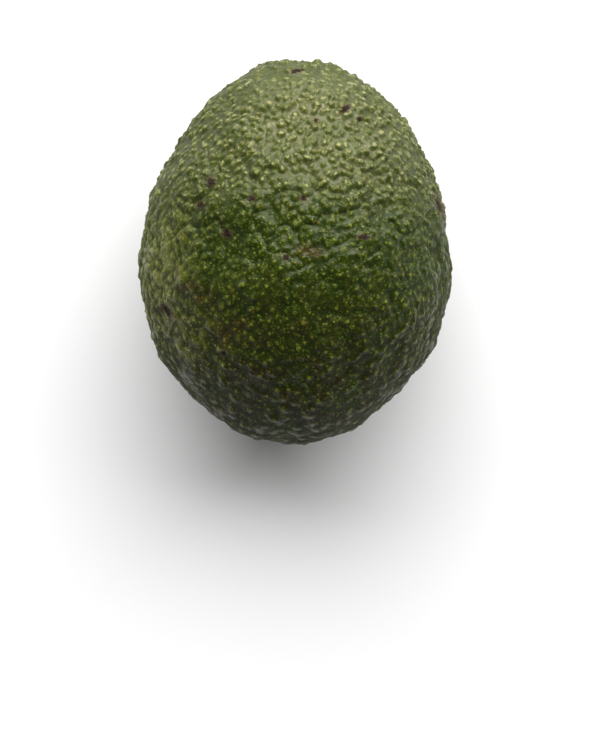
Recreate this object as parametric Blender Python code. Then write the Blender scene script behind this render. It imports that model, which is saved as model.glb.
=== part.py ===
"""An avocado as picked, lying on its side, with the dried stub of its stem.

Metres, +Z up. The long axis runs along Y, with the stem end at +Y dipping a little, as the fruit comes to
rest. The origin lies on the surface below the fruit, at the middle of its box.
"""

import math
import random

import bmesh
import bpy
import numpy as np
from mathutils import Matrix, Vector

MM = 0.001

# The fruit's form is four half sections, each a row of distances in mm from the fruit's middle to its skin,
# at even angles from the stem end round to the blossom end. It isn't a turned shape: each side has its own.
RADII_RIGHT = (42.2, 38.9, 34.8, 33.9, 36.1, 39.4, 42.9)
RADII_TOP = (42.2, 38.4, 34.3, 33.6, 36.1, 39.7, 42.9)
RADII_LEFT = (42.2, 38.1, 34.5, 34.0, 36.9, 40.5, 42.9)
RADII_UNDER = (42.2, 38.2, 33.8, 33.0, 35.6, 39.4, 42.9)

# How it lies: the stem end dips until the weight is at its lowest, and the skin is flat where it bears.
DIP_DEG = 7.0
MIDDLE = Vector((0.4, 0.4, 32.5)) * MM
SPOT_FADE_MM = (7.0, 15.0)

# The skin is pebbled all over, larger than life. Each pebble is a low bump with a crease all round it.
PEBBLE_COUNT = 1750
PEBBLE_SEED = 11
PEBBLE_SCATTER = 0.24
PEBBLE_HEIGHT_MM = (0.04, 0.48)
CREASE_DEPTH_MM = (0.28, 0.36)
CREASE_SHARP = math.radians(8.0)

# Below the pebbles the fruit is a little lumpy. Each row is a height in mm and three waves in radians per mm.
LUMPS = (
    (0.22, (0.31, 0.05, 0.12)),
    (0.20, (-0.09, 0.34, 0.16)),
    (0.18, (0.14, -0.22, 0.37)),
    (0.14, (0.46, 0.30, -0.21)),
)

# The stem stands in a shallow recess with a soft rim, in a plain round socket. The pebbles fade towards it.
RECESS_DEPTH_MM = 2.9
RECESS_SPREAD_MM = 5.6
RIM_HEIGHT_MM = 0.7
RIM_RADIUS_MM = 9.0
RIM_SPREAD_MM = 2.6
SOCKET_RADIUS_MM = 3.5
SOCKET_FLOOR_MM = 36.9
SOCKET_SIDES = 28

# The stub is a turned shape, uneven round its edge. A profile row is a radius and a height above its foot, in
# mm, and a wave is a share of the radius, a count of crests and a phase.
STUB_CLEARANCE_MM = 0.3
STUB_PROFILE_MM = (
    (0.0, 0.0),
    (2.7, 0.0),
    (3.0, 0.4),
    (3.0, 2.3),
    (3.25, 3.2),
    (3.55, 3.9),
    (3.45, 4.5),
    (2.9, 4.75),
    (2.0, 4.45),
    (1.0, 4.6),
    (0.0, 4.5),
)
STUB_SIDES = 28
STUB_WAVES = ((0.045, 3, 0.4), (0.03, 5, 1.9), (0.02, 8, 0.0))
STUB_SHARP = math.radians(50.0)


def clear_scene():
    for obj in list(bpy.data.objects):
        bpy.data.objects.remove(obj)


def material(name, colour, roughness):
    """A Principled BSDF in one colour, with no metal in it."""
    made = bpy.data.materials.new(name)
    made.use_nodes = True
    shader = made.node_tree.nodes["Principled BSDF"]
    shader.inputs["Base Color"].default_value = (*colour, 1.0)
    shader.inputs["Roughness"].default_value = roughness
    shader.inputs["Metallic"].default_value = 0.0
    return made


def place_object(name, bm, made_of):
    """Puts a bmesh into the scene as an object of one material."""
    mesh = bpy.data.meshes.new(name)
    bm.to_mesh(mesh)
    bm.free()
    mesh.materials.append(made_of)
    obj = bpy.data.objects.new(name, mesh)
    bpy.context.scene.collection.objects.link(obj)
    return obj


def section_weights(radii):
    """The weights of 1, cos t, cos 2t and so on whose sum passes through the radii at even angles."""
    angles = np.linspace(0.0, math.pi, len(radii))
    orders = np.arange(len(radii))
    return np.linalg.solve(np.cos(np.outer(angles, orders)), radii)


def form_radius(directions):
    """The distance in mm from the middle to the smooth skin. The four half sections share each direction by
    the squares of its sideways parts, so that one runs smoothly into the next."""
    across = np.maximum(np.hypot(directions[:, 0], directions[:, 2]), 1e-9)
    from_stem = np.arctan2(across, directions[:, 1])
    waves = np.cos(np.outer(from_stem, np.arange(len(RADII_RIGHT))))
    side = directions[:, 0] / across
    up = directions[:, 2] / across
    shares = (
        (RADII_RIGHT, np.maximum(side, 0.0)),
        (RADII_LEFT, np.maximum(-side, 0.0)),
        (RADII_TOP, np.maximum(up, 0.0)),
        (RADII_UNDER, np.maximum(-up, 0.0)),
    )
    return sum(share**2 * (waves @ section_weights(radii)) for radii, share in shares)


def smooth_step(low, high, values):
    share = np.clip((values - low) / (high - low), 0.0, 1.0)
    return share * share * (3.0 - 2.0 * share)


def skin_relief(points, bumps, foot):
    """How far in mm each point of the smooth skin moves out. Pebbles and low lumps cover it all but the spot
    that it rests on, and round the stem the pebbles give way to the recess and its rim."""
    lumps = sum(height * np.sin(points @ np.array(waves)) for height, waves in LUMPS)
    from_axis = np.hypot(points[:, 0], points[:, 2])
    stem_half = points[:, 1] > 0.0
    recess = RECESS_DEPTH_MM * np.exp(-((from_axis / RECESS_SPREAD_MM) ** 2))
    rim = RIM_HEIGHT_MM * np.exp(-(((from_axis - RIM_RADIUS_MM) / RIM_SPREAD_MM) ** 2))
    off_stem = np.where(stem_half, smooth_step(SOCKET_RADIUS_MM, RIM_RADIUS_MM, from_axis), 1.0)
    off_spot = smooth_step(*SPOT_FADE_MM, np.linalg.norm(points - foot, axis=1))
    return (lumps + bumps * off_stem) * off_spot + np.where(stem_half, rim - recess, 0.0)


def pebble_directions():
    """Directions spread evenly on a sunflower spiral, each nudged at random so that no rows show."""
    draw = random.Random(PEBBLE_SEED)
    spacing = math.sqrt(4.0 * math.pi / PEBBLE_COUNT)
    golden_turn = math.pi * (3.0 - math.sqrt(5.0))
    found = []
    for i in range(PEBBLE_COUNT):
        along = 1.0 - 2.0 * (i + 0.5) / PEBBLE_COUNT
        across = math.sqrt(1.0 - along * along)
        turn = i * golden_turn
        point = Vector((across * math.cos(turn), along, across * math.sin(turn)))
        nudge = Vector(draw.uniform(-1.0, 1.0) for _ in range(3))
        found.append((point + nudge * spacing * PEBBLE_SCATTER).normalized())
    return found


def make_fruit(lie):
    """A ball of triangles with a pebble's top at each corner. Each triangle gets a low point at its middle,
    and its sides are turned to join those points, so that they ring every top as a crease. Every point is
    then set out from the middle by the form, and what would sink below the surface is flat."""
    bm = bmesh.new()
    for direction in pebble_directions():
        bm.verts.new(direction)
    bmesh.ops.convex_hull(bm, input=bm.verts)
    sides = list(bm.edges)
    bmesh.ops.poke(bm, faces=bm.faces)
    creases = bmesh.ops.rotate_edges(bm, edges=sides, use_ccw=False)["edges"]

    directions = np.array([vertex.co.normalized() for vertex in bm.verts])
    draw = random.Random(PEBBLE_SEED + 1)
    tops = [draw.uniform(*PEBBLE_HEIGHT_MM) for _ in range(PEBBLE_COUNT)]
    lows = [-draw.uniform(*CREASE_DEPTH_MM) for _ in range(len(directions) - PEBBLE_COUNT)]
    smooth = directions * form_radius(directions)[:, None]
    foot = np.array(lie.inverted() @ Vector((0.0, 0.0, 0.0))) / MM
    relief = skin_relief(smooth, np.array(tops + lows), foot)
    for vertex, point in zip(bm.verts, smooth + directions * relief[:, None]):
        place = lie @ (Vector(point) * MM)
        place.z = max(place.z, 0.0)
        vertex.co = place

    bmesh.ops.recalc_face_normals(bm, faces=bm.faces)
    for face in bm.faces:
        face.smooth = True
    for crease in creases:
        crease.smooth = crease.calc_face_angle() < CREASE_SHARP
    return place_object("fruit", bm, material("avocado_skin", (0.07, 0.12, 0.03), 0.45))


def along_y():
    """Turns a shape that stands along +Z so that it stands along +Y."""
    return Matrix.Rotation(math.radians(-90.0), 4, "X")


def cut_socket(fruit, lie):
    """A round blind hole for the stub, along the long axis."""
    length = 20.0 * MM
    bm = bmesh.new()
    bmesh.ops.create_cone(
        bm,
        cap_ends=True,
        segments=SOCKET_SIDES,
        radius1=SOCKET_RADIUS_MM * MM,
        radius2=SOCKET_RADIUS_MM * MM,
        depth=length,
        matrix=Matrix.Translation((0.0, 0.0, SOCKET_FLOOR_MM * MM + length / 2)),
    )
    cutter = place_object("socket_cutter", bm, fruit.data.materials[0])
    cutter.matrix_world = lie @ along_y()
    cutter.hide_render = True
    cutter.display_type = "WIRE"
    cut = fruit.modifiers.new("socket", "BOOLEAN")
    cut.operation = "DIFFERENCE"
    cut.object = cutter


def make_stub(lie):
    """Rings of the profile, wavy round the edge, closed at the axis by a fan at the foot and at the top."""
    bm = bmesh.new()
    turns = [2.0 * math.pi * i / STUB_SIDES for i in range(STUB_SIDES)]
    rings = []
    for radius, height in STUB_PROFILE_MM[1:-1]:
        ring = []
        for turn in turns:
            dent = sum(share * (1.0 + math.sin(crests * turn + phase)) for share, crests, phase in STUB_WAVES)
            reach = radius * (1.0 - dent / 2) * MM
            ring.append(bm.verts.new((reach * math.cos(turn), reach * math.sin(turn), height * MM)))
        rings.append(ring)
    for lower, upper in zip(rings, rings[1:]):
        for i in range(STUB_SIDES):
            k = (i + 1) % STUB_SIDES
            bm.faces.new((lower[i], lower[k], upper[k], upper[i]))
    for ring, (_, height) in ((rings[0], STUB_PROFILE_MM[0]), (rings[-1], STUB_PROFILE_MM[-1])):
        centre = bm.verts.new((0.0, 0.0, height * MM))
        for i in range(STUB_SIDES):
            bm.faces.new((ring[i], ring[(i + 1) % STUB_SIDES], centre))
    bmesh.ops.recalc_face_normals(bm, faces=bm.faces)

    stub = place_object("stem_stub", bm, material("stem_wood", (0.16, 0.10, 0.05), 0.8))
    stub.data.shade_smooth()
    stub.data.set_sharp_from_angle(angle=STUB_SHARP)
    foot = SOCKET_FLOOR_MM + STUB_CLEARANCE_MM
    stub.matrix_world = lie @ along_y() @ Matrix.Translation((0.0, 0.0, foot * MM))


def main():
    clear_scene()
    lie = Matrix.Translation(MIDDLE) @ Matrix.Rotation(math.radians(-DIP_DEG), 4, "X")
    fruit = make_fruit(lie)
    cut_socket(fruit, lie)
    make_stub(lie)


main()
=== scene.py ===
"""Dresses an avocado that lies on its side: the pebbled skin, the stub of the stem, and the table and light.

It is laid out as a Blender add-on and run as a script. Objects are in metres. Shapes are worked out in mm in the
fruit's own frame, whose +Y runs to the stem end, and laid in place at the end, as the fruit comes to rest.
"""

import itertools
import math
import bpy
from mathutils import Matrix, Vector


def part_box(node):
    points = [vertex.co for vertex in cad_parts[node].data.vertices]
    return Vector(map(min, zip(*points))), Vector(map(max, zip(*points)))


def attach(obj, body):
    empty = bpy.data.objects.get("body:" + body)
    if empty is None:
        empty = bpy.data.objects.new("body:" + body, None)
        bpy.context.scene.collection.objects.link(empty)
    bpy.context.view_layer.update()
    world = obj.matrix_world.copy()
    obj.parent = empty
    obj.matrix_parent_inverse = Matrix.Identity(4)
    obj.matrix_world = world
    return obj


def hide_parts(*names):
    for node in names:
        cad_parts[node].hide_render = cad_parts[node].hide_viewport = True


bl_info = {
    "name": "Avocado",
    "version": (1, 0, 0),
    "blender": (4, 5, 0),
    "location": "View3D > Sidebar > Avocado",
    "description": "Adds the skin and stem stub of an avocado around its solids, with a plain stage",
    "category": "Add Mesh",
}

import bpy
import numpy as np
from mathutils import Matrix, Vector

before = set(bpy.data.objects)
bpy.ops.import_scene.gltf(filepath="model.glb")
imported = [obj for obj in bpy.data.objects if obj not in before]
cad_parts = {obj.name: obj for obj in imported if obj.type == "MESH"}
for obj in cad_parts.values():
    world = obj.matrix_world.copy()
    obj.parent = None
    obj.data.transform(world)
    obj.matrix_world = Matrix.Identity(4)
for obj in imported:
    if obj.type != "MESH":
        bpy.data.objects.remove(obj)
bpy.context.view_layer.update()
FRUIT_LOW, FRUIT_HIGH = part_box("fruit")

MM = 0.001

# The fruit's form, as in its solid: distances in mm from the middle to the skin along four half sections, at even
# angles from the stem end round to the blossom end.
RADII_RIGHT = (42.2, 38.9, 34.8, 33.9, 36.1, 39.4, 42.9)
RADII_TOP = (42.2, 38.4, 34.3, 33.6, 36.1, 39.7, 42.9)
RADII_LEFT = (42.2, 38.1, 34.5, 34.0, 36.9, 40.5, 42.9)
RADII_UNDER = (42.2, 38.2, 33.8, 33.0, 35.6, 39.4, 42.9)

# How it lies, as in its solid: the stem end dips, and all relief fades towards the spot that it rests on. The
# height above the table at which it is widest is in metres.
DIP_DEG = 7.0
MIDDLE_MM = (0.4, 0.4, 32.5)
SPOT_FADE_MM = (7.0, 15.0)
WIDEST_HEIGHT = 0.0335

# Below its relief the fruit is a little lumpy. Each row is a height in mm and three waves in radians per mm.
LUMPS = (
    (0.22, (0.31, 0.05, 0.12)),
    (0.20, (-0.09, 0.34, 0.16)),
    (0.18, (0.14, -0.22, 0.37)),
    (0.14, (0.46, 0.30, -0.21)),
)

# The stem end: a recess with a soft rim and a round socket. A share of the relief goes on up to the socket.
RECESS_DEPTH_MM = 2.9
RECESS_SPREAD_MM = 5.6
RIM_HEIGHT_MM = 0.7
RIM_RADIUS_MM = 9.0
RIM_SPREAD_MM = 2.6
SOCKET_RADIUS_MM = 3.5
SOCKET_FLOOR_MM = 37.1
SOCKET_WALL_MM = 0.5
RELIEF_AT_SOCKET = 0.3

# The blossom end: a dent where the flower was, and a point in it. Both spreads are shares of the radius.
FLOWER_RADIUS_MM = 1.5
FLOWER_DEPTH_MM = 0.5
DENT_SPREAD = 1.6
POINT_SPREAD = 0.5

# The skin is six grids of cells, pushed out to a ball and then drawn up and a little towards the stem end, so that
# the cells are finer there.
FACE_CELLS = 128
FINER_TOWARD = (0.0, 0.10, 0.26)
CHUNK = 2048

# Each noise reads one repeating lattice of random numbers, from a place of its own. Folds and ridges read it turned,
# so that none runs along an axis. The warp first moves every place a little.
LATTICE_SIZE = 64
LATTICE_SEED = 5
LATTICE_TURN_DEG = 38.0
LATTICE_TURN_ABOUT = (1.0, 0.45, 0.7)
WARP_SPACING_MM = 3.0
WARP_MM = 0.6
FOLD_WARP_MM = 1.5
WARP_PLACES = ((31.7, 0.0, 0.0), (0.0, 17.3, 0.0), (0.0, 0.0, 45.1))
FOLD_PLACE = 7.5
RIDGE_PLACE = 1.5
BOLD_PLACE = 11.2
GRAIN_PLACE = 3.3
FIBRE_PLACE = 9.2
RAY_PLACE = 20.3
BARK_PLACE = 2.4

# Folds run round the fruit in a band, given by its middle along Y and its spread, and are lower on its two sides, by
# how far the direction points along X. Here and below, a pair of heights is the least and the most.
FOLD_SPACING_MM = (5.5, 3.6, 5.5)
FOLD_HEIGHT_MM = (0.14, 0.85)
FOLD_BAND_MM = (7.0, 11.0)
FOLD_ROUND = 0.12
FOLD_STEEP = 2.6
FOLD_SINK = 0.3
CALM_SIDES = 0.5
SIDES_FROM = (0.5, 0.9)

# Knobs, like pebbles, are counted over the whole fruit. They stand out most towards the blossom end. A spread and a
# nudge are shares of their spacing.
KNOB_COUNT = 1500
KNOB_SPREAD = 0.45
KNOB_MARKS = (0.2, 1.0)
KNOB_HEIGHT_MM = (0.26, 0.62)
KNOB_RISE_MM = (-12.0, 30.0)
NUDGE = 0.30

# Pebbles: a dome's radius and a button's edge in shares of the spacing, and a button's size. The lowest one has this
# share of the full height, and the mean is taken off again.
PEBBLE_COUNT = 4200
PEBBLE_HEIGHT_MM = (0.40, 0.85)
PEBBLE_LEAST = 0.4
PEBBLE_MEAN = 0.3
PEBBLE_MEAN_MORE = 0.2
DOME_RADIUS = 0.65
BUTTON_EDGE = (0.56, 0.20)
BUTTON_SIZE = 0.75
BUTTON_SIZE_MORE = 0.4

# Outside the bold patches, pebbles in the stem half are lower by this share.
BOLD_SPACING_MM = 11.0
BOLD_FROM = (0.0, 0.5)
CALM_SHARE = 0.45

# Thin ridges, highest towards the stem end, and a fine grain.
RIDGE_SPACING_MM = 2.8
RIDGE_HEIGHT_MM = 0.30
RIDGE_LEAST = 0.45
RIDGE_EDGE = (0.17, 0.02)
GRAIN_SPACING_MM = 1.05
GRAIN_HEIGHT_MM = 0.04

# How much each shape counts in the relief layer, by which the material tells creases from crests and paints shade
# into the creases.
FOLD_SHADE = 0.40
KNOB_SHADE = 0.5
PEBBLE_SHADE = 0.6
RIDGE_SHADE = 0.25
LEVEL_SHADE = 0.2

# The skin darkens towards the blossom end and loses its bloom and painted sheen there, and is corky round the stem.
# Pairs are from and to.
DARKER_END_FROM_MM = (2.0, 34.0)
STEM_HALF_FROM_MM = (-2.0, 20.0)
CORK_RADIUS_MM = 7.5

# Scars on the upper side: where each lies as seen from above, half its length and width, all in mm, and how far its
# long side is turned from +X in degrees. It fades out at this many times its size. Stains and patches are the same.
SPOT_REACH = 1.7
SCARS = (
    (0.5, 39.3, 1.6, 0.5, 12.0),
    (10.9, 30.3, 1.5, 0.6, 38.0),
    (14.1, 28.2, 0.6, 0.6, 0.0),
    (1.9, 10.4, 0.8, 0.6, -30.0),
    (-17.9, 14.4, 1.0, 0.9, 60.0),
    (-20.1, 9.3, 0.9, 0.8, 20.0),
    (-14.5, 3.0, 1.1, 0.9, -20.0),
    (-9.1, 10.4, 0.8, 0.8, 70.0),
    (-1.8, -2.2, 0.7, 0.6, 80.0),
    (14.8, 2.2, 1.3, 0.6, 0.0),
    (-27.6, -13.2, 1.9, 0.8, -42.0),
    (-15.1, -22.5, 0.8, 0.5, 25.0),
    (31.6, 9.8, 1.8, 0.7, -65.0),
    (4.6, 27.6, 0.5, 0.5, 0.0),
)
STAINS = (
    (-22.0, -9.2, 4.2, 1.9, -25.0),
    (3.4, -0.8, 3.2, 1.3, 0.0),
    (-13.5, -18.0, 3.6, 1.8, 30.0),
)
YELLOW_PATCHES = (
    (-29.0, -7.0, 16.0, 6.5, 85.0),
    (-22.0, -19.0, 9.0, 6.0, -50.0),
)
# Where the bloom is thickest and painted sheen stands for the light's highlight on the upper side; pebbles there
# keep their full height.
WAX_AND_SHEEN_PATCHES = (
    (2.0, 28.0, 9.0, 7.0, 0.0),
    (9.0, 18.0, 9.0, 8.0, -30.0),
)

# The lower side has a few more scars, round and at random. The two kinds part at this share of the widest height.
HIDDEN_SCARS = 22
HIDDEN_SCAR_RADII_MM = (1.0, 2.4)
SCAR_SEED = 3
SCARS_ABOVE = 0.9

# The stub: its profile as in its solid, as radii and heights above its foot, and its waves round the edge, each a
# share of the radius, a count of crests and a phase.
STUB_FOOT_MM = 37.2
STUB_MIDDLE_MM = 2.3
STUB_CELLS = 48
STUB_PROFILE_MM = (
    (0.0, 0.0),
    (2.7, 0.0),
    (3.0, 0.4),
    (3.0, 2.3),
    (3.25, 3.2),
    (3.55, 3.9),
    (3.45, 4.5),
    (2.9, 4.75),
    (2.0, 4.45),
    (1.0, 4.6),
    (0.0, 4.5),
)
STUB_WAVES = ((0.045, 3, 0.4), (0.03, 5, 1.9), (0.02, 8, 0.0))
STUB_WALL_MM = 3.0

# The stub's wear: the depth of it, the waves per mm of its fibres along and across the axis, its rings, rays and
# pith on the broken end, and the bark, which is shallower.
FIBRE_DEPTH_MM = 0.20
FIBRE_WAVES_PER_MM = (1.9, 0.4, 1.9)
FINE_FIBRE_WAVES_PER_MM = 4.1
RING_WAVES_PER_MM = 7.0
RING_BEND_PER_MM = 0.9
RAYS_ROUND = 4.0
RAYS_PER_MM = 0.35
RAYS_FROM_MM = (0.3, 1.2)
PITH_RADIUS_MM = 0.7
BARK_WAVES_PER_MM = (2.2, 0.7, 2.2)
BARK_SHARE = 0.5

# In the stem half, how far towards the stem end, where the light comes from, a dot sits on its pebble, as a
# painted highlight on the pebble's lit side; how large a dot is, in shares of the pebbles' spacing, and how much
# larger in the stem half; and the spacing and radius of two sizes of specks.
DOT_HIGHLIGHT_SHIFT = 0.12
DOT_RADII = (0.14, 0.28)
DOT_STEM_SIZE = 1.4
FINE_SPECKS_MM = (0.72, 0.30)
MIDDLING_SPECKS_MM = (1.05, 0.42)

# The table in metres, the picture in pixels, where the origin lies in it, and its scale at the widest height.
TABLE_SIZE = 6.0
TABLE_GAP = 0.00002
PICTURE = (600, 750)
FRUIT_IN_PICTURE = (294.6, 251.8)
PIXEL_MM = 0.2208
FILM_HEIGHT_MM = 36.0
BACKDROP = 0.9

# Each light: its azimuth and elevation in degrees, its distance and its two sides in metres.
KEY_LIGHT = (9.0, 41.0, 1.8, (3.4, 2.3))
LOW_LIGHT = (15.0, 30.0, 1.8, (2.2, 1.4))
LOW_LIGHT_COLOUR = (1.0, 0.97, 0.80)


# Settings


def colour_property(name, description, default):
    """A colour that a user may change."""
    return bpy.props.FloatVectorProperty(
        name=name, description=description, default=default, size=3, min=0.0, max=1.0, subtype="COLOR"
    )


class AvocadoSkinSettings(bpy.types.PropertyGroup):
    """Size, relief and colours of the skin."""

    length: bpy.props.FloatProperty(
        name="Length",
        description="Length of the fruit from end to end",
        default=FRUIT_HIGH.y - FRUIT_LOW.y,
        min=0.05,
        max=0.15,
        unit="LENGTH",
    )
    relief: bpy.props.FloatProperty(
        name="Relief",
        description="Height of the folds and pebbles, as a share of their usual height",
        default=1.0,
        min=0.0,
        max=2.0,
        subtype="FACTOR",
    )
    ground: colour_property("Ground", "Colour of the skin between its dots", (0.0115, 0.026, 0.0003))
    ground_light: colour_property("Light ground", "Colour of the paler patches of the skin", (0.038, 0.049, 0.0010))
    # Painted shade: the creases are coloured darker, as where shade falls between the pebbles.
    crease_shade: colour_property("Creases", "Colour in the creases between pebbles", (0.006, 0.016, 0.0003))
    # Darker, browner skin towards the blossom end.
    darker_end: colour_property(
        "Ripe", "Colour of the skin where it has begun to darken, towards the blossom end", (0.017, 0.014, 0.0018)
    )
    dot: colour_property("Dots", "Colour of most of the small pale dots", (0.155, 0.186, 0.013))
    halo: colour_property("Halos", "Colour of the green round each dot", (0.044, 0.064, 0.0014))
    # The pale dots of the stem half are partly the skin's dots and partly painted highlights on the pebbles' lit
    # sides.
    pale_dot_highlight: colour_property("Pale dots", "Colour of the small dots near the stem end", (0.43, 0.40, 0.17))
    dot_warm: colour_property("Warm dots", "Colour of the few dots that have turned brown", (0.13, 0.095, 0.012))
    yellow: colour_property(
        "Yellow", "Colour of the few broad patches where the skin is yellower", (0.108, 0.122, 0.009)
    )
    # Partly a waxy bloom and partly painted sheen: the light's haze and highlights put into the colour.
    bloom_and_sheen: colour_property(
        "Bloom", "Colour of the thin waxy bloom, thickest towards the stem end", (0.208, 0.206, 0.098)
    )
    stain: colour_property("Stains", "Colour of the soft brown stains", (0.036, 0.020, 0.003))
    cork: colour_property("Cork", "Colour of the corky ring round the stem", (0.062, 0.040, 0.016))
    scar: colour_property("Scars", "Colour of the small corky scars", (0.014, 0.006, 0.003))
    scar_rim: colour_property("Scar rims", "Colour of the dry skin round a scar", (0.100, 0.068, 0.036))


class AvocadoStemSettings(bpy.types.PropertyGroup):
    """Size and colours of the stem stub."""

    radius: bpy.props.FloatProperty(
        name="Radius",
        description="Radius of the stub at its wall",
        default=0.003,
        min=0.001,
        max=0.006,
        unit="LENGTH",
    )
    bark: colour_property("Bark", "Colour of the stub's side", (0.060, 0.038, 0.020))
    wood: colour_property("Wood", "Colour of the stub's broken end", (0.26, 0.185, 0.105))


class AvocadoStageSettings(bpy.types.PropertyGroup):
    """The table, the lights and the camera."""

    floor: colour_property("Table", "Colour of the table", (0.86, 0.86, 0.86))
    key_power: bpy.props.FloatProperty(
        name="Key light",
        description="Power of the large soft light beyond the stem end",
        default=116.0,
        min=0.0,
        subtype="POWER",
        unit="POWER",
    )
    low_power: bpy.props.FloatProperty(
        name="Low light",
        description="Power of the soft light low beyond the stem end, which alone shows in the gloss",
        default=78.0,
        min=0.0,
        subtype="POWER",
        unit="POWER",
    )
    room: bpy.props.FloatProperty(
        name="Room",
        description="Brightness of the dim room all round",
        default=0.17,
        min=0.0,
        max=2.0,
    )
    camera_height: bpy.props.FloatProperty(
        name="Camera height",
        description="Height of the camera above the table",
        default=0.9,
        min=0.2,
        max=3.0,
        unit="LENGTH",
    )


# Form


def section_weights(radii):
    """The weights of 1, cos t, cos 2t and so on whose sum passes through the radii at even angles."""
    angles = np.linspace(0.0, math.pi, len(radii))
    orders = np.arange(len(radii))
    return np.linalg.solve(np.cos(np.outer(angles, orders)), radii)


def form_radius(directions):
    """The distance in mm from the middle to the smooth skin: each half section's sum of cosines of the angle from
    the stem end, weighed by the square of the direction's part towards that side."""
    across = np.maximum(np.hypot(directions[:, 0], directions[:, 2]), 1e-9)
    from_stem = np.arctan2(across, directions[:, 1])
    waves = np.cos(np.outer(from_stem, np.arange(len(RADII_RIGHT))))
    side = directions[:, 0] / across
    up = directions[:, 2] / across
    shares = (
        (RADII_RIGHT, np.maximum(side, 0.0)),
        (RADII_LEFT, np.maximum(-side, 0.0)),
        (RADII_TOP, np.maximum(up, 0.0)),
        (RADII_UNDER, np.maximum(-up, 0.0)),
    )
    return sum(share**2 * (waves @ section_weights(radii)) for radii, share in shares)


def form_points(directions):
    """Points of the smooth form: each direction times its distance."""
    return directions * form_radius(directions)[:, None]


def unit(vectors):
    """Vectors made of unit length: each divided by the root of the sum of its parts' squares."""
    return vectors / np.linalg.norm(vectors, axis=1, keepdims=True)


def form_normals(directions):
    """Normals of the smooth form: the cross product of its steps along two directions across each direction."""
    step = 1e-4
    helper = np.where(np.abs(directions[:, 1:2]) < 0.9, [[0.0, 1.0, 0.0]], [[1.0, 0.0, 0.0]])
    first = unit(np.cross(helper, directions))
    second = np.cross(directions, first)
    along = [
        form_points(unit(directions + way * step)) - form_points(unit(directions - way * step))
        for way in (first, second)
    ]
    return unit(np.cross(along[0], along[1]))


def smooth_step(low, high, values):
    """0 below low, 1 above high, and 3t^2 - 2t^3 of the share t of the way between them."""
    share = np.clip((values - low) / (high - low), 0.0, 1.0)
    return share * share * (3.0 - 2.0 * share)


def between(ends, share):
    """The value a share of the way from the first of two to the second."""
    return ends[0] + (ends[1] - ends[0]) * share


def grid_quads(corner):
    """The four corners of each cell of a grid, from the grid of its points' numbers."""
    sides = (corner[:-1, :-1], corner[1:, :-1], corner[1:, 1:], corner[:-1, 1:])
    return np.stack(sides, axis=-1).reshape(-1, 4)


def ball_grid(cells):
    """Six square grids pushed out to a ball. A grid's two parameters run from -1 to 1, and the direction is its
    face's axis plus the tangents of a quarter turn of each parameter along the two other axes, made unit length.
    Points that two grids share are one. Returns the directions and the four corners of each cell, facing out."""
    steps = np.tan(np.linspace(-1.0, 1.0, cells + 1) * math.pi / 4)
    u, v = np.meshgrid(steps, steps, indexing="ij")
    grids = []
    for axis in range(3):
        for sign in (1.0, -1.0):
            face = np.zeros(3)
            face[axis] = sign
            first = np.roll(np.abs(face), 1)
            second = np.cross(face, first)
            grids.append(face + u[..., None] * first + v[..., None] * second)
    directions = unit(np.concatenate([grid.reshape(-1, 3) for grid in grids]))
    count = (cells + 1) ** 2
    quads = grid_quads(np.arange(count).reshape(cells + 1, cells + 1))
    quads = np.concatenate([quads + count * face for face in range(6)])
    _, first_seen, joined = np.unique(np.round(directions, 6), axis=0, return_index=True, return_inverse=True)
    return directions[first_seen], joined.reshape(-1)[quads]


def lattice_noise(points, lattice):
    """Noise from -1 to 1: the values of a repeating lattice of random numbers at the eight whole-number places
    round each point, weighed by 6t^5 - 15t^4 + 10t^3 of the share t of the way along each axis."""
    floor = np.floor(points).astype(int)
    share = points - floor
    share = share**3 * (share * (share * 6.0 - 15.0) + 10.0)
    total = np.zeros(len(points))
    for corner in itertools.product((0, 1), repeat=3):
        at = (floor + corner) % LATTICE_SIZE
        weight = np.prod(np.where(corner, share, 1.0 - share), axis=1)
        total += weight * lattice[at[:, 0], at[:, 1], at[:, 2]]
    return total


def ball_spacing(count):
    """How far apart a number of points lie on a ball of radius 1: the root of each one's share of its area."""
    return math.sqrt(4.0 * math.pi / count)


def ball_points(count, draw):
    """Directions spread evenly on a ball: point i lies at 1 - 2 (i + 1/2) / count along Y and at i golden turns
    about it, and each is nudged at random by a share of the spacing."""
    steps = np.arange(count)
    along = 1.0 - 2.0 * (steps + 0.5) / count
    across = np.sqrt(1.0 - along**2)
    turn = steps * math.pi * (3.0 - math.sqrt(5.0))
    even = np.stack([across * np.cos(turn), along, across * np.sin(turn)], axis=1)
    return unit(even + draw.uniform(-1.0, 1.0, (count, 3)) * ball_spacing(count) * NUDGE)


def by_chunks(directions, scattered, measure):
    """A measure of each direction's products with all scattered ones, taken for one chunk after another."""
    across = scattered.T.astype(np.float32)
    chunks = np.array_split(directions.astype(np.float32), len(directions) // CHUNK + 1)
    return np.concatenate([measure(chunk @ across) for chunk in chunks])


def nearest_points(directions, scattered):
    """The number of the scattered direction nearest to each direction, as the one with the largest product."""
    return by_chunks(directions, scattered, lambda products: np.argmax(products, axis=1))


def swell(directions, scattered, heights):
    """The sum over the scattered directions of a height times a bell curve of the distance to each, whose width
    is a share of their spacing. The square of that distance is two minus twice the product."""
    width = KNOB_SPREAD * ball_spacing(len(scattered))
    return by_chunks(directions, scattered, lambda products: np.exp((products - 1.0) * 2.0 / width**2) @ heights)


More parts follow.
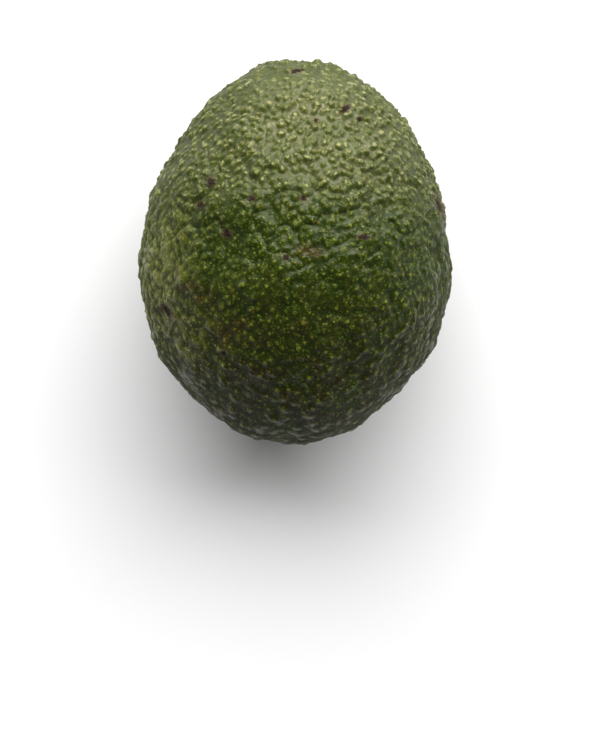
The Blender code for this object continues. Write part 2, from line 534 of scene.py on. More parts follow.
def stem_end(points):
    """The recess round the stem, its rim and the socket, by the distance from the long axis: a bell curve down, a
    narrower one up at the rim's radius, and a steep step down inside the socket's wall."""
    from_axis = np.hypot(points[:, 0], points[:, 2])
    recess = RECESS_DEPTH_MM * np.exp(-((from_axis / RECESS_SPREAD_MM) ** 2))
    rim = RIM_HEIGHT_MM * np.exp(-(((from_axis - RIM_RADIUS_MM) / RIM_SPREAD_MM) ** 2))
    depth = points[:, 1] - recess - SOCKET_FLOOR_MM
    inside = 1.0 - smooth_step(SOCKET_RADIUS_MM - SOCKET_WALL_MM, SOCKET_RADIUS_MM + SOCKET_WALL_MM, from_axis)
    return np.where(points[:, 1] > 0.0, rim - recess - depth * inside, 0.0)


def blossom_end(points):
    """A small dent with a point in it: a narrow bell curve less a wide one of the distance from the end."""
    from_end = np.linalg.norm(points - [0.0, -RADII_TOP[-1], 0.0], axis=1)
    dent = np.exp(-((from_end / (FLOWER_RADIUS_MM * DENT_SPREAD)) ** 2))
    point = np.exp(-((from_end / (FLOWER_RADIUS_MM * POINT_SPREAD)) ** 2))
    return FLOWER_DEPTH_MM * (point - dent)


def turned_noise(points, spacing, place, lattice):
    """The lattice's noise at points divided by a spacing, turned and moved to a place of its own."""
    turn = np.array(Matrix.Rotation(math.radians(LATTICE_TURN_DEG), 3, Vector(LATTICE_TURN_ABOUT)))
    return lattice_noise(points / spacing @ turn + place, lattice)


def folds(bowed, lattice):
    """Broad rounded folds with narrow troughs: the size of a noise stretched round the fruit, as the root of its
    square and a small one, made steep, sunk and held at 1."""
    level = turned_noise(bowed, FOLD_SPACING_MM, FOLD_PLACE, lattice)
    return np.minimum(np.hypot(level, FOLD_ROUND) * FOLD_STEEP - FOLD_SINK, 1.0)


def ridges(bowed, lattice):
    """Thin curling ridges along the lines where a noise is nothing, by a smooth step of its size."""
    return smooth_step(*RIDGE_EDGE, np.abs(turned_noise(bowed, RIDGE_SPACING_MM, RIDGE_PLACE, lattice)))


def pebble_shape(distance, mark, stem_share):
    """A pebble by the distance from its point. Towards the blossom end it is a dome, one minus the square of the
    distance, so that pebbles meet in creases. Towards the stem end it is a button, a smooth step down to flat
    ground all round. Its random number sets its height and a button's size."""
    dome = np.maximum(1.0 - (distance / DOME_RADIUS) ** 2, 0.0)
    button = smooth_step(*BUTTON_EDGE, distance / (BUTTON_SIZE + BUTTON_SIZE_MORE * mark))
    return (dome + (button - dome) * stem_share) * (PEBBLE_LEAST + (1.0 - PEBBLE_LEAST) * mark)


def bold_patches(points, directions, lattice):
    """1 where pebbles in the stem half have their full height, and 0 elsewhere: the larger of a smooth step of
    the depth in the waxy patches of the upper side and one of a broad noise."""
    waxy = smooth_step(*BOLD_FROM, spots(lay(points), WAX_AND_SHEEN_PATCHES)) * (directions[:, 2] > 0.0)
    broad = smooth_step(*BOLD_FROM, lattice_noise(points / BOLD_SPACING_MM + BOLD_PLACE, lattice))
    return np.maximum(waxy, broad)


def skin_relief(directions, foot, amount):
    """How far in mm the smooth form moves out at each direction, along its normal, and the layers that the
    material reads. It is the sum of low lumps, folds, knobs, pebbles, a fine grain and ridges, each a height
    times a shape less its mean. Folds have a bell curve along Y and fade towards the sides, knobs are a swell
    about scattered points, and each place belongs to the pebble whose point is nearest. The relief layer is a
    weighed sum of the same shapes, 0 down in the creases and 1 on a crest; the material paints shade into the
    creases from it."""
    draw = np.random.default_rng(LATTICE_SEED)
    lattice = draw.uniform(-1.0, 1.0, (LATTICE_SIZE,) * 3)
    knobs, knob_marks = ball_points(KNOB_COUNT, draw), draw.uniform(*KNOB_MARKS, KNOB_COUNT)
    pebbles, pebble_marks = ball_points(PEBBLE_COUNT, draw), draw.uniform(0.0, 1.0, PEBBLE_COUNT)

    points = form_points(directions)
    stem_share = smooth_step(*STEM_HALF_FROM_MM, points[:, 1])
    warp = [lattice_noise(points / WARP_SPACING_MM + place, lattice) for place in WARP_PLACES]
    warp = np.stack(warp, axis=1)
    bent = unit(points + warp * WARP_MM)
    bowed = points + warp * FOLD_WARP_MM

    fold = folds(bowed, lattice)
    fold_share = np.exp(-(((points[:, 1] - FOLD_BAND_MM[0]) / FOLD_BAND_MM[1]) ** 2))
    fold_share *= 1.0 - CALM_SIDES * smooth_step(*SIDES_FROM, np.abs(directions[:, 0]))
    knob = swell(bent, knobs, knob_marks)
    knob_share = smooth_step(*KNOB_RISE_MM, -points[:, 1])
    ridge = ridges(bowed, lattice)

    own = nearest_points(bent, pebbles)
    mark = pebble_marks[own]
    away = (bent - pebbles[own]) / ball_spacing(PEBBLE_COUNT)
    distance = np.linalg.norm(away, axis=1)
    pebble = pebble_shape(distance, mark, stem_share)
    pebble_height = between(PEBBLE_HEIGHT_MM, stem_share)
    pebble_height *= 1.0 - CALM_SHARE * (1.0 - bold_patches(points, directions, lattice)) * stem_share

    fine = between(FOLD_HEIGHT_MM, fold_share) * (fold - 0.5)
    fine += between(KNOB_HEIGHT_MM, knob_share) * (knob - 0.5)
    fine += pebble_height * (pebble - PEBBLE_MEAN - PEBBLE_MEAN_MORE * stem_share)
    fine += GRAIN_HEIGHT_MM * lattice_noise(points / GRAIN_SPACING_MM + GRAIN_PLACE, lattice)
    fine += RIDGE_HEIGHT_MM * ridge * (RIDGE_LEAST + (1.0 - RIDGE_LEAST) * stem_share)

    lumps = sum(height * np.sin(points @ np.array(waves)) for height, waves in LUMPS)
    from_axis = np.hypot(points[:, 0], points[:, 2])
    off_stem = np.where(points[:, 1] > 0.0, smooth_step(SOCKET_RADIUS_MM, RIM_RADIUS_MM, from_axis), 1.0)
    off_spot = smooth_step(*SPOT_FADE_MM, np.linalg.norm(points - foot, axis=1))
    kept = RELIEF_AT_SOCKET + (1.0 - RELIEF_AT_SOCKET) * off_stem
    moved = (lumps + fine * kept * amount) * off_spot

    relief = FOLD_SHADE * (fold - 0.5) * fold_share + KNOB_SHADE * (knob - 0.5)
    relief += PEBBLE_SHADE * pebble
    relief = np.clip(relief + LEVEL_SHADE + RIDGE_SHADE * ridge * (1.0 - stem_share), 0.0, 1.0)
    layers = (
        ("relief", relief),
        ("from_dot", away),
        ("pebble", distance),
        ("dot_mark", mark),
        ("curl", ridge * stem_share),
    )
    return moved, layers


def spots(places, rows):
    """How deep each place lies in the deepest of some soft oval spots, seen from above: one minus the distance
    from its middle, in shares of its reach along and across it, and never below nothing."""
    depth = np.zeros(len(places))
    for x, y, long, wide, turn in rows:
        across, along = places[:, 0] / MM - x, places[:, 1] / MM - y
        angle = math.radians(turn)
        first = (across * math.cos(angle) + along * math.sin(angle)) / (SPOT_REACH * long)
        second = (along * math.cos(angle) - across * math.sin(angle)) / (SPOT_REACH * wide)
        depth = np.maximum(depth, 1.0 - np.hypot(first, second))
    return depth


def scar_depth(places):
    """How deep each place lies in a scar: the spots on the upper side, and on the lower half a few round ones at
    random, as one minus the distance in shares of the radius."""
    draw = np.random.default_rng(SCAR_SEED)
    depth = spots(places, SCARS) * (places[:, 2] > WIDEST_HEIGHT * SCARS_ABOVE)
    toward = unit(draw.normal(size=(HIDDEN_SCARS, 3)))
    toward[:, 2] = -np.abs(toward[:, 2])
    middles = lay(form_points(toward))
    for middle, radius in zip(middles, draw.uniform(*HIDDEN_SCAR_RADII_MM, HIDDEN_SCARS) * MM):
        depth = np.maximum(depth, 1.0 - np.linalg.norm(places - middle, axis=1) / radius)
    return depth


def stub_form(directions, turn):
    """The plain stub, in mm from the middle of its solid: each direction times the distance to the profile at
    its angle from the axis, drawn in round the axis by the sum of the waves of its turn."""
    profile = np.array(STUB_PROFILE_MM) - (0.0, STUB_MIDDLE_MM)
    angles = np.arctan2(profile[:, 0], profile[:, 1])[::-1]
    reaches = np.hypot(profile[:, 0], profile[:, 1])[::-1]
    from_top = np.arctan2(np.hypot(directions[:, 0], directions[:, 2]), directions[:, 1])
    points = directions * np.interp(from_top, angles, reaches)[:, None]
    dent = sum(share * (1.0 + np.sin(crests * turn + phase)) for share, crests, phase in STUB_WAVES)
    points[:, (0, 2)] *= (1.0 - dent / 2)[:, None]
    return points


def stub_wear(points, turn, from_axis, lattice):
    """How worn the broken end is at each point: coarse fibres drawn out along the axis and fine ones, rays that
    follow the turn, rings as a sine of the distance from the axis bent by a noise, and a soft pith."""
    fibres = 0.6 * lattice_noise(points * FIBRE_WAVES_PER_MM + FIBRE_PLACE, lattice)
    fibres += 0.4 * lattice_noise(points * FINE_FIBRE_WAVES_PER_MM, lattice)
    spokes = (RAYS_ROUND * np.cos(turn), RAYS_PER_MM * from_axis, RAYS_ROUND * np.sin(turn))
    rays = lattice_noise(np.stack(spokes, axis=1) + RAY_PLACE, lattice) * smooth_step(*RAYS_FROM_MM, from_axis)
    rings = np.sin(from_axis * RING_WAVES_PER_MM + 1.5 * lattice_noise(points * RING_BEND_PER_MM, lattice))
    pith = 1.0 - smooth_step(PITH_RADIUS_MM * 0.6, PITH_RADIUS_MM, from_axis)
    return fibres + 0.9 * rays + 0.35 * rings - 1.2 * pith


def stub_points(directions):
    """The stub in the fruit's frame in mm, and the layers that its material reads. The plain stub moves out
    along each direction by the wear on the broken end and by a noise of the bark on the side."""
    turn = np.arctan2(-directions[:, 2], directions[:, 0])
    points = stub_form(directions, turn)
    lattice = np.random.default_rng(LATTICE_SEED).uniform(-1.0, 1.0, (LATTICE_SIZE,) * 3)
    from_axis = np.hypot(points[:, 0], points[:, 2])
    broken = smooth_step(STUB_MIDDLE_MM * 0.6, STUB_MIDDLE_MM * 0.95, points[:, 1])
    worn = stub_wear(points, turn, from_axis, lattice)
    bark = lattice_noise(points * BARK_WAVES_PER_MM + BARK_PLACE, lattice)
    moved = FIBRE_DEPTH_MM * np.where(broken > 0.5, worn, BARK_SHARE * bark)
    points += directions * moved[:, None]
    points[:, 1] += STUB_FOOT_MM + STUB_MIDDLE_MM
    return points, (("broken_end", broken), ("worn", worn), ("from_axis", from_axis))


# Making


def laid():
    """Carries the fruit's own frame in mm to the world in metres, as the fruit lies."""
    turned = Matrix.Rotation(math.radians(-DIP_DEG), 4, "X")
    return Matrix.Translation(Vector(MIDDLE_MM) * MM) @ turned @ Matrix.Scale(MM, 4)


def lay(points):
    """Carries points from the fruit's frame to the world."""
    lie = np.array(laid())
    return points @ lie[:3, :3].T + lie[:3, 3]


def add_piece(name, points, faces, material, layers=()):
    """A smooth-shaded mesh object at the origin from arrays of points and four-sided faces. Each layer is a name
    and one number or vector for each point, kept as an attribute that the material reads."""
    mesh = bpy.data.meshes.new(name)
    mesh.vertices.add(len(points))
    mesh.vertices.foreach_set("co", points.astype(np.float32).ravel())
    mesh.loops.add(faces.size)
    mesh.loops.foreach_set("vertex_index", faces.astype(np.int32).ravel())
    mesh.polygons.add(len(faces))
    mesh.polygons.foreach_set("loop_start", np.arange(0, faces.size, faces.shape[1], dtype=np.int32))
    mesh.update(calc_edges=True)
    mesh.shade_smooth()
    for layer, values in layers:
        kind, field = ("FLOAT", "value") if values.ndim == 1 else ("FLOAT_VECTOR", "vector")
        attribute = mesh.attributes.new(layer, kind, "POINT")
        attribute.data.foreach_set(field, values.astype(np.float32).ravel())
    mesh.materials.append(material)
    piece = bpy.data.objects.new(name, mesh)
    bpy.context.scene.collection.objects.link(piece)
    return piece


# Materials


def new_material(name):
    """An empty material. Returns it and its node tree."""
    material = bpy.data.materials.new(name)
    material.use_nodes = True
    tree = material.node_tree
    tree.nodes.clear()
    return material, tree


def node(tree, kind, settings=None, **inputs):
    """A node with its settings made and its inputs set or linked. An underscore in an input's name is a space, and
    a number after a double underscore picks one of several inputs of the same name."""
    made = tree.nodes.new(kind)
    for key, value in (settings or {}).items():
        setattr(made, key, value)
    for key, value in inputs.items():
        name, _, number = key.partition("__")
        named = [socket for socket in made.inputs if socket.name == name.replace("_", " ") and socket.enabled]
        socket = named[int(number or 0)]
        if isinstance(value, bpy.types.NodeSocket):
            tree.links.new(value, socket)
        else:
            socket.default_value = value
    return made


def math_node(tree, operation, first, second=0.0):
    return node(tree, "ShaderNodeMath", {"operation": operation}, Value=first, Value__1=second).outputs[0]


def product(tree, first, second):
    return math_node(tree, "MULTIPLY", first, second)


def added(tree, first, second):
    return math_node(tree, "ADD", first, second)


def larger(tree, first, second):
    return math_node(tree, "MAXIMUM", first, second)


def ramp(tree, value, low, high, to_low=0.0, to_high=1.0):
    """A smooth step of a value from low to high, from one output to another."""
    ends = {"From_Min": low, "From_Max": high, "To_Min": to_low, "To_Max": to_high}
    return node(tree, "ShaderNodeMapRange", {"interpolation_type": "SMOOTHSTEP"}, Value=value, **ends).outputs[0]


def mix(tree, share, first, second):
    """A colour mixed from two by a share."""
    made = tree.nodes.new("ShaderNodeMix")
    made.data_type = "RGBA"
    sockets = {socket.identifier: socket for socket in made.inputs}
    for identifier, value in (("Factor_Float", share), ("A_Color", first), ("B_Color", second)):
        if isinstance(value, bpy.types.NodeSocket):
            tree.links.new(value, sockets[identifier])
        elif identifier == "Factor_Float":
            sockets[identifier].default_value = value
        else:
            sockets[identifier].default_value = (*value, 1.0)
    return next(socket for socket in made.outputs if socket.identifier == "Result_Color")


def noise(tree, at, scale, detail=2.0, roughness=0.5, stretch=None):
    """A noise with a scale in waves per mm, drawn out where the stretch is below 1."""
    if stretch:
        at = node(tree, "ShaderNodeMapping", Vector=at, Scale=stretch).outputs[0]
    made = node(tree, "ShaderNodeTexNoise", Vector=at, Scale=scale, Detail=detail, Roughness=roughness)
    return made.outputs[0]


def millimetres(tree):
    """Object coordinates in mm."""
    place = node(tree, "ShaderNodeTexCoord").outputs["Object"]
    return node(tree, "ShaderNodeMapping", Vector=place, Scale=(1.0 / MM,) * 3).outputs[0]


def attribute(tree, name):
    """A layer's number at each place."""
    return node(tree, "ShaderNodeAttribute", {"attribute_name": name}).outputs["Fac"]


def mottle_group():
    """The node group that both the skin and the stem use: a cloudy mask, set by its scale, low and high, and a
    fine grain, as the distance from scattered points, set by their number per mm."""
    made = bpy.data.node_groups.new("mottle", "ShaderNodeTree")
    made.interface.new_socket(name="Vector", in_out="INPUT", socket_type="NodeSocketVector")
    for name in ("Scale", "Low", "High", "Pits per mm"):
        made.interface.new_socket(name=name, in_out="INPUT", socket_type="NodeSocketFloat")
    for name in ("Mask", "Grain"):
        made.interface.new_socket(name=name, in_out="OUTPUT", socket_type="NodeSocketFloat")
    given = made.nodes.new("NodeGroupInput").outputs
    clouds = noise(made, given["Vector"], given["Scale"], 4.0, 0.65)
    pits = node(made, "ShaderNodeTexVoronoi", Vector=given["Vector"], Scale=given["Pits per mm"])
    out = made.nodes.new("NodeGroupOutput").inputs
    made.links.new(ramp(made, clouds, given["Low"], given["High"]), out["Mask"])
    made.links.new(pits.outputs["Distance"], out["Grain"])
    return made


def mottle(tree, at, scale, low, high, pits_per_mm=2.6):
    """Places the mottle group. Returns its mask and its grain."""
    group = bpy.data.node_groups.get("mottle") or mottle_group()
    made = tree.nodes.new("ShaderNodeGroup")
    made.node_tree = group
    tree.links.new(at, made.inputs["Vector"])
    for name, value in (("Scale", scale), ("Low", low), ("High", high), ("Pits per mm", pits_per_mm)):
        made.inputs[name].default_value = value
    return made.outputs["Mask"], made.outputs["Grain"]


def pebble_dots(tree, at):
    """The pale dot on each pebble, with a ragged edge. In the stem half it is larger, partly hollow, and sits a
    little towards the stem end of the pebble's point, towards the light, so that it also stands as a painted
    highlight on the pebble's lit side. The way from the point is exact inside a pebble, and the plain distance
    rules out the creases. Returns how far in a dot each place is, 0 to 1, a second such mask that is hollow in
    some dots, how far in a pebble of the stem half it is, and the random number of each pebble."""
    stem_half = attribute(tree, "stem_half")
    from_point = attribute(tree, "pebble")
    mark = attribute(tree, "dot_mark")

    away = node(tree, "ShaderNodeAttribute", {"attribute_name": "from_dot"}).outputs["Vector"]
    # Painted highlight: in the stem half the dot moves towards the light, onto the lit side of its pebble.
    shift = node(tree, "ShaderNodeCombineXYZ", Y=product(tree, stem_half, -DOT_HIGHLIGHT_SHIFT)).outputs[0]
    away = node(tree, "ShaderNodeVectorMath", {"operation": "ADD"}, Vector__0=away, Vector__1=shift).outputs[0]
    exact = node(tree, "ShaderNodeVectorMath", {"operation": "LENGTH"}, Vector=away).outputs["Value"]
    coarse = math_node(tree, "MULTIPLY_ADD", from_point, 0.85)
    coarse.node.inputs[2].default_value = -0.08
    ragged = product(tree, math_node(tree, "SUBTRACT", noise(tree, at, 1.7, 3.0, 0.6), 0.5), 0.6)
    distance = added(tree, larger(tree, exact, coarse), ragged)

    size = ramp(tree, stem_half, 0.0, 1.0, 1.0, DOT_STEM_SIZE)
    radius = product(tree, ramp(tree, mark, 0.0, 1.0, *DOT_RADII), size)
    share = math_node(tree, "DIVIDE", distance, radius)
    dot = ramp(tree, share, 1.0, 0.0)
    chosen = ramp(tree, math_node(tree, "MODULO", product(tree, mark, 7.3), 1.0), 0.5, 0.6)
    chosen = larger(tree, chosen, product(tree, stem_half, 0.4))
    hollow = product(tree, ramp(tree, share, 0.55, 0.15), chosen)
    rim = product(tree, dot, math_node(tree, "SUBTRACT", 1.0, hollow))
    side = product(tree, ramp(tree, from_point, 0.52, 0.32), stem_half)
    return dot, rim, side, mark


def specks(tree, at, spacing, radius):
    """Tiny soft dots about scattered points. Returns how far in a speck each place is, 0 to 1, at random
    heights."""
    cells = node(tree, "ShaderNodeTexVoronoi", Vector=at, Scale=1.0 / spacing)
    drawn = node(tree, "ShaderNodeSeparateColor", Color=cells.outputs["Color"]).outputs[0]
    inside = ramp(tree, cells.outputs["Distance"], radius / spacing, 0.1 * radius / spacing)
    return product(tree, inside, ramp(tree, drawn, 0.0, 1.0, 0.2, 1.0))


def skin_ground(tree, at, settings, clouds, stained):
    """The skin's colour below its dots: green with paler, yellower and stained patches, darker and browner
    towards the blossom end, with painted shade in its creases, and a waxy bloom that is partly painted sheen,
    which lies on the flat ground and, as painted highlights, along the curling ridges."""
    height = attribute(tree, "relief")
    stem_half = attribute(tree, "stem_half")
    patches, _ = mottle(tree, at, 0.10, 0.35, 0.7)
    lighter = larger(tree, product(tree, patches, 0.45), product(tree, clouds, 0.6))
    ground = mix(tree, lighter, settings.ground, settings.ground_light)
    yellowed = product(tree, attribute(tree, "yellow"), ramp(tree, height, 0.1, 0.7, 0.4, 0.75))
    ground = mix(tree, yellowed, ground, settings.yellow)
    darkened, _ = mottle(tree, at, 0.2, 0.3, 0.6)
    ground = mix(tree, product(tree, attribute(tree, "darker_end"), darkened), ground, settings.darker_end)
    ground = mix(tree, product(tree, stained, 0.9), ground, settings.stain)

    # Painted shade: the creases are darkened by how low they lie, less so in the stem half, which faces the light.
    crease_shaded = product(tree, ramp(tree, height, 0.5, 0.15), ramp(tree, stem_half, 0.0, 0.7, 0.7, 0.1))
    ground = mix(tree, crease_shaded, ground, settings.crease_shade)
    # Painted sheen and highlights: the bloom lies on the flat ground and along the curling ridges, thickest in the
    # sheen patches, where the light's haze and highlights fall.
    thin = ramp(tree, noise(tree, at, 1.3, 3.0, 0.7), 0.35, 0.6, 0.3, 1.0)
    sheen_on_curls = product(tree, attribute(tree, "curl"), thin)
    sheen_on_curls = larger(tree, sheen_on_curls, ramp(tree, clouds, 0.0, 1.0, 0.38, 0.6))
    bloom_and_sheen_share = product(tree, ramp(tree, height, 0.25, 0.65, 1.0, 0.35), attribute(tree, "wax_and_sheen"))
    bloom_and_sheen_share = product(tree, bloom_and_sheen_share, sheen_on_curls)
    return mix(tree, product(tree, bloom_and_sheen_share, 0.9), ground, settings.bloom_and_sheen)


def skin_material(settings):
    """Green ground with paler patches and painted shade in its creases, a pale dot on each pebble with specks
    between, set towards the light in the stem half as a painted highlight, brown scars and stains, a waxy
    bloom with painted sheen towards the stem, and darker, browner skin towards the blossom end."""
    material, tree = new_material("avocado_skin")
    at = millimetres(tree)
    height = attribute(tree, "relief")
    stem_half = attribute(tree, "stem_half")
    clouds, grain = mottle(tree, at, 0.7, 0.4, 0.8)
    blotched, _ = mottle(tree, at, 0.5, 0.3, 0.65)
    stained = product(tree, attribute(tree, "stain"), blotched)
    ground = skin_ground(tree, at, settings, clouds, stained)

    dot, rim, side, mark = pebble_dots(tree, at)
    ground = mix(tree, product(tree, side, 0.7), ground, settings.halo)
    fine = specks(tree, at, *FINE_SPECKS_MM)
    middling = specks(tree, at, *MIDDLING_SPECKS_MM)
    fine_shown = product(tree, fine, ramp(tree, stem_half, 0.0, 1.0, 0.48, 0.1))
    middling_shown = product(tree, middling, ramp(tree, stem_half, 0.0, 1.0, 0.8, 0.35))
    broken = product(tree, rim, ramp(tree, noise(tree, at, 2.6, 2.0, 0.6), 0.3, 0.6, 0.4, 1.0))
    dotted = product(tree, broken, ramp(tree, mark, 0.0, 0.8, 0.4, 1.0))
    speckled = larger(tree, larger(tree, fine_shown, middling_shown), dotted)
    # In the stem half the dots take the pale colour that stands partly for painted highlights.
    paler = larger(tree, stem_half, product(tree, attribute(tree, "yellow"), 0.45))
    pale = mix(tree, paler, settings.dot, settings.pale_dot_highlight)
    turned = larger(tree, ramp(tree, mark, 0.93, 0.96, 0.0, 0.7), product(tree, stained, 0.8))
    pale = mix(tree, turned, pale, settings.dot_warm)
    colour = mix(tree, ramp(tree, dot, 0.0, 0.6, 0.0, 0.5), ground, settings.halo)
    colour = mix(tree, speckled, colour, pale)

    flakes = product(tree, noise(tree, at, 1.1, 5.0, 0.75), 1.6)
    corky = ramp(tree, added(tree, attribute(tree, "cork"), flakes), 1.15, 1.5)
    colour = mix(tree, corky, colour, settings.cork)
    edge = product(tree, noise(tree, at, 1.7, 5.0, 0.85), 2.3)
    torn = added(tree, attribute(tree, "scar"), edge)
    colour = mix(tree, ramp(tree, torn, 1.25, 1.58, 0.0, 0.6), colour, settings.scar_rim)
    scarred = ramp(tree, torn, 1.58, 1.74)
    colour = mix(tree, scarred, colour, settings.scar)

    raised = product(tree, rim, 0.10)
    for mask, height_mm in ((middling, 0.04), (fine, 0.02), (clouds, 0.08), (grain, 0.05), (scarred, -0.12)):
        raised = added(tree, raised, product(tree, mask, height_mm))
    bump = node(tree, "ShaderNodeBump", Strength=1.0, Distance=MM, Height=raised)

    facing = node(tree, "ShaderNodeLayerWeight", Blend=0.5).outputs["Facing"]
    creases = ramp(tree, facing, 0.1, 0.5, 0.36, 0.66)
    creases = math_node(tree, "SUBTRACT", creases, ramp(tree, stem_half, 0.0, 1.0, 0.0, 0.22))
    dry = product(tree, larger(tree, scarred, corky), 0.45)
    rough = added(tree, ramp(tree, height, 0.35, 0.75, creases, 0.20), dry)
    rough = added(tree, rough, ramp(tree, facing, 0.3, 0.8, 0.0, 0.12))
    shader = node(
        tree,
        "ShaderNodeBsdfPrincipled",
        Base_Color=colour,
        Roughness=rough,
        IOR=1.31,
        Normal=bump.outputs[0],
        Sheen_Weight=0.03,
        Sheen_Roughness=0.35,
        Sheen_Tint=(1.0, 0.90, 0.35, 1.0),
    )
    node(tree, "ShaderNodeOutputMaterial", Surface=shader.outputs[0])
    return material


def stem_material(settings):
    """Dry wood: mottled bark on the side, and a paler broken end that is darker where it is worn and round its
    edge."""
    material, tree = new_material("stem_wood")
    at = millimetres(tree)
    end = attribute(tree, "broken_end")
    mottled, grain = mottle(tree, at, 1.2, 0.35, 0.7, 3.5)
    fibres = noise(tree, at, 3.0, 3.0, 0.6, (1.0, 0.25, 1.0))
    bark = mix(tree, mottled, settings.bark, settings.wood)
    weathered = added(tree, attribute(tree, "worn"), math_node(tree, "SUBTRACT", fibres, 0.5))
    wood = mix(tree, ramp(tree, weathered, 0.25, -0.55), settings.wood, settings.bark)
    wood = mix(tree, ramp(tree, attribute(tree, "from_axis"), 2.5, 3.1, 0.0, 0.8), wood, settings.bark)
    colour = mix(tree, end, bark, wood)
    raised = product(tree, mottled, 0.08)
    for mask, height_mm in ((fibres, 0.18), (grain, 0.05)):
        raised = added(tree, raised, product(tree, mask, height_mm))
    bump = node(tree, "ShaderNodeBump", Strength=1.0, Distance=MM, Height=raised)
    shader = node(
        tree,
        "ShaderNodeBsdfPrincipled",
        Base_Color=colour,
        Roughness=ramp(tree, mottled, 0.0, 1.0, 0.7, 0.9),
        Normal=bump.outputs[0],
    )
    node(tree, "ShaderNodeOutputMaterial", Surface=shader.outputs[0])
    return material


def plain_material(name, colour):
    """A matt material of one colour."""
    material, tree = new_material(name)
    shader = node(tree, "ShaderNodeBsdfPrincipled", Base_Color=(*colour, 1.0), Roughness=0.9)
    shader.inputs["Specular IOR Level"].default_value = 0.2
    node(tree, "ShaderNodeOutputMaterial", Surface=shader.outputs[0])
    return material


# Stage


def add_table(settings):
    """A flat square grid: half the size times each parameter, from -1 to 1."""
    steps = np.linspace(-1.0, 1.0, 5) * TABLE_SIZE / 2
    x, y = np.meshgrid(steps, steps, indexing="ij")
    points = np.stack([x.ravel(), y.ravel(), np.full(x.size, -TABLE_GAP)], axis=1)
    corner = np.arange(x.size).reshape(x.shape)
    table = add_piece("table", points, grid_quads(corner), plain_material("table_paper", settings.floor))


def add_soft_light(scene, name, placed, power):
    """A rectangular soft light that the camera can't see, aimed at the fruit from an azimuth, 0 at +Y and 90 at
    +X, and an elevation."""
    azimuth_deg, elevation_deg, distance, size = placed
    light = bpy.data.lights.new(name, "AREA")
    light.shape = "RECTANGLE"
    light.size, light.size_y = size
    light.energy = power
    azimuth = math.radians(azimuth_deg)
    elevation = math.radians(elevation_deg)
    level = math.cos(elevation)
    away = Vector((math.sin(azimuth) * level, math.cos(azimuth) * level, math.sin(elevation)))
    aim = Vector((0.0, 0.0, WIDEST_HEIGHT))
    lamp = bpy.data.objects.new(name, light)
    lamp.location = aim + away * distance
    lamp.rotation_euler = (-away).to_track_quat("-Z", "Y").to_euler()
    lamp.visible_camera = False
    scene.collection.objects.link(lamp)
    return lamp


def add_lights(scene, settings):
    """A large light that only lights what is matt, a lower one that only shows in the gloss, and a dim room that
    the camera sees as a bright backdrop."""
    key = add_soft_light(scene, "key_light", KEY_LIGHT, settings.key_power)
    key.visible_glossy = False
    low = add_soft_light(scene, "low_light", LOW_LIGHT, settings.low_power)
    low.visible_diffuse = False
    low.data.color = LOW_LIGHT_COLOUR
    world = bpy.data.worlds.new("room")
    world.use_nodes = True
    seen = node(world.node_tree, "ShaderNodeLightPath").outputs["Is Camera Ray"]
    level = ramp(world.node_tree, seen, 0.0, 1.0, settings.room, BACKDROP)
    world.node_tree.links.new(level, world.node_tree.nodes["Background"].inputs["Color"])
    scene.world = world
    scene.view_settings.view_transform = "Standard"


def add_camera(scene, settings):
    """Straight above, with the picture's top towards the stem end, and framed as the fruit lies in it."""
    camera = bpy.data.cameras.new("camera")
    camera.sensor_fit = "VERTICAL"
    camera.sensor_height = FILM_HEIGHT_MM
    depth = settings.camera_height - WIDEST_HEIGHT
    camera.lens = FILM_HEIGHT_MM * depth / (PICTURE[1] * PIXEL_MM * MM)
    stand = bpy.data.objects.new("camera", camera)
    stand.location = (
        (PICTURE[0] / 2 - FRUIT_IN_PICTURE[0]) * PIXEL_MM * MM,
        (FRUIT_IN_PICTURE[1] - PICTURE[1] / 2) * PIXEL_MM * MM,
        settings.camera_height,
    )
    scene.collection.objects.link(stand)
    scene.camera = stand


# Operators and panel


class AVOCADO_OT_add_skin(bpy.types.Operator):
    """Adds the fruit's skin, pebbled and coloured, in place of its plain solid"""

    bl_idname = "avocado.add_skin"
    bl_label = "Add Skin"

    def execute(self, context):
        settings = context.scene.avocado_skin
        directions, faces = ball_grid(FACE_CELLS)
        directions = unit(directions + FINER_TOWARD)
        smooth = form_points(directions)
        from_axis = np.hypot(smooth[:, 0], smooth[:, 2])
        foot = np.array(laid().inverted() @ Vector((0.0, 0.0, 0.0)))
        moved, relief_layers = skin_relief(directions, foot, settings.relief)
        points = smooth + form_normals(directions) * moved[:, None]
        points += directions * (stem_end(smooth) + blossom_end(smooth))[:, None]
        places = lay(points * settings.length / (FRUIT_HIGH.y - FRUIT_LOW.y))
        places[:, 2] = np.maximum(places[:, 2], 0.0)
        cork = smooth_step(CORK_RADIUS_MM, SOCKET_RADIUS_MM, from_axis) * (smooth[:, 1] > 0.0)
        above = smooth_step(WIDEST_HEIGHT * 0.4, WIDEST_HEIGHT, places[:, 2])
        stem_half = smooth_step(*STEM_HALF_FROM_MM, smooth[:, 1])
        # Painted sheen: the bloom is thickest in these patches, where the light's highlight falls.
        waxy = smooth_step(0.0, 0.6, spots(places, WAX_AND_SHEEN_PATCHES)) * above
        layers = relief_layers + (
            ("scar", scar_depth(places)),
            ("cork", cork),
            ("stain", smooth_step(0.0, 0.6, spots(places, STAINS)) * above),
            ("yellow", smooth_step(0.0, 0.8, spots(places, YELLOW_PATCHES)) * above),
            ("darker_end", smooth_step(*DARKER_END_FROM_MM, -smooth[:, 1])),
            ("stem_half", stem_half),
            ("wax_and_sheen", stem_half * (0.4 + 0.6 * waxy)),
        )
        skin = add_piece("skin", places, faces, skin_material(settings), layers)
        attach(skin, "root")
        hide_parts("fruit")
        return {"FINISHED"}


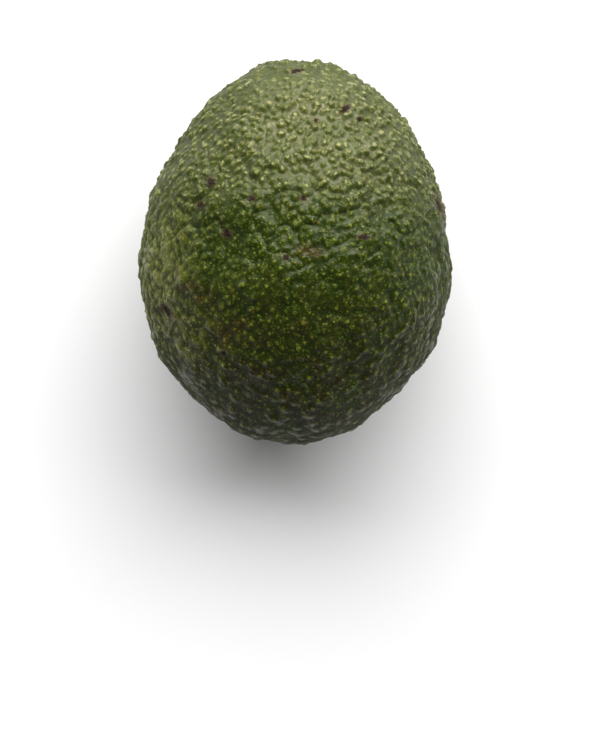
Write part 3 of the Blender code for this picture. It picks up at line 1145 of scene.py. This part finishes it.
class AVOCADO_OT_add_stem_stub(bpy.types.Operator):
    """Adds the dried stub of the stem, in place of its plain solid"""

    bl_idname = "avocado.add_stem_stub"
    bl_label = "Add Stem Stub"

    def execute(self, context):
        settings = context.scene.avocado_stem
        directions, faces = ball_grid(STUB_CELLS)
        points, layers = stub_points(directions)
        points[:, (0, 2)] *= settings.radius / (STUB_WALL_MM * MM)
        stub = add_piece("stem", lay(points), faces, stem_material(settings), layers)
        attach(stub, "root")
        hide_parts("stem_stub")
        return {"FINISHED"}


class AVOCADO_OT_set_stage(bpy.types.Operator):
    """Sets the table, the soft lights and the camera straight above"""

    bl_idname = "avocado.set_stage"
    bl_label = "Set Stage"

    def execute(self, context):
        settings = context.scene.avocado_stage
        add_table(settings)
        add_lights(context.scene, settings)
        add_camera(context.scene, settings)
        return {"FINISHED"}


class AVOCADO_PT_panel(bpy.types.Panel):
    """The avocado's pieces and settings"""

    bl_idname = "AVOCADO_PT_panel"
    bl_label = "Avocado"
    bl_space_type = "VIEW_3D"
    bl_region_type = "UI"
    bl_category = "Avocado"

    def draw(self, context):
        groups = (
            (context.scene.avocado_skin, AVOCADO_OT_add_skin),
            (context.scene.avocado_stem, AVOCADO_OT_add_stem_stub),
            (context.scene.avocado_stage, AVOCADO_OT_set_stage),
        )
        for settings, operator in groups:
            box = self.layout.box()
            for name in settings.__annotations__:
                box.prop(settings, name)
            box.operator(operator.bl_idname)


SETTINGS = {
    "avocado_skin": AvocadoSkinSettings,
    "avocado_stem": AvocadoStemSettings,
    "avocado_stage": AvocadoStageSettings,
}
CLASSES = (
    *SETTINGS.values(),
    AVOCADO_OT_add_skin,
    AVOCADO_OT_add_stem_stub,
    AVOCADO_OT_set_stage,
    AVOCADO_PT_panel,
)


def register():
    for each in CLASSES:
        bpy.utils.register_class(each)
    for name, group in SETTINGS.items():
        setattr(bpy.types.Scene, name, bpy.props.PointerProperty(type=group))


def unregister():
    for name in SETTINGS:
        delattr(bpy.types.Scene, name)
    for each in reversed(CLASSES):
        bpy.utils.unregister_class(each)


def main():
    register()
    bpy.ops.avocado.set_stage()
    bpy.ops.avocado.add_skin()
    bpy.ops.avocado.add_stem_stub()


if __name__ == "__main__":
    main()
